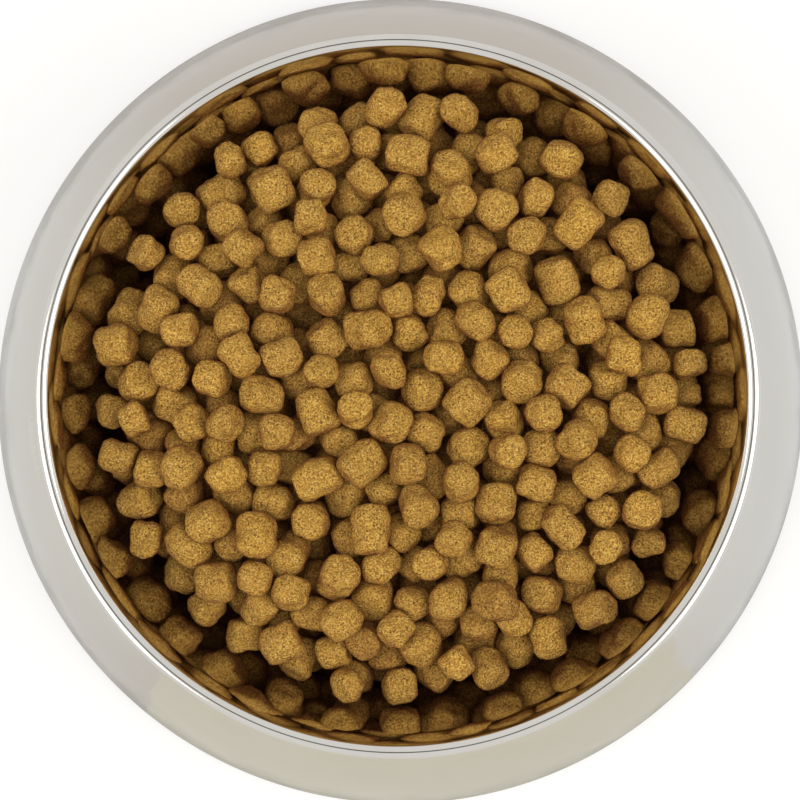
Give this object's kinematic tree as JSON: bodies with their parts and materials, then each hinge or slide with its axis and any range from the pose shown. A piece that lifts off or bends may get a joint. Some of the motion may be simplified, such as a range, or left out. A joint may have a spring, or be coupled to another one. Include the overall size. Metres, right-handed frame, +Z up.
{
  "type": "filled pet food bowl",
  "caption": "Round wide-based steel pet food bowl with a rolled lip and a rubber foot ring, filled with a heap of dry kibble.",
  "frame": {"origin": "centre of the bowl's base, on the surface it stands on", "axes": "+Z up along the bowl's axis; +Y towards the top of the picture, +X to its right"},
  "size_m": [0.2044, 0.2044, 0.06],
  "materials": {
    "bowl": "satin",
    "foot_ring": "matte",
    "kibble": "matte"
  },
  "bodies": {
    "root": {"bowl": "bowl", "foot_ring": "foot_ring", "kibble_bed": "kibble", "loose_kibble_01": "kibble", "loose_kibble_02": "kibble", "loose_kibble_03": "kibble", "loose_kibble_04": "kibble", "loose_kibble_05": "kibble", "loose_kibble_06": "kibble", "loose_kibble_07": "kibble", "loose_kibble_08": "kibble", "loose_kibble_09": "kibble", "loose_kibble_10": "kibble", "loose_kibble_11": "kibble", "loose_kibble_12": "kibble", "loose_kibble_13": "kibble", "loose_kibble_14": "kibble", "loose_kibble_15": "kibble", "loose_kibble_16": "kibble", "loose_kibble_17": "kibble", "loose_kibble_18": "kibble", "loose_kibble_19": "kibble", "loose_kibble_20": "kibble", "loose_kibble_21": "kibble", "loose_kibble_22": "kibble", "loose_kibble_23": "kibble", "loose_kibble_24": "kibble", "loose_kibble_25": "kibble", "loose_kibble_26": "kibble", "loose_kibble_27": "kibble", "loose_kibble_28": "kibble", "loose_kibble_29": "kibble", "loose_kibble_30": "kibble", "loose_kibble_31": "kibble", "loose_kibble_32": "kibble", "loose_kibble_33": "kibble", "loose_kibble_34": "kibble", "loose_kibble_35": "kibble", "loose_kibble_36": "kibble", "loose_kibble_37": "kibble", "loose_kibble_38": "kibble", "loose_kibble_39": "kibble", "loose_kibble_40": "kibble"}
  },
  "joints": []
}
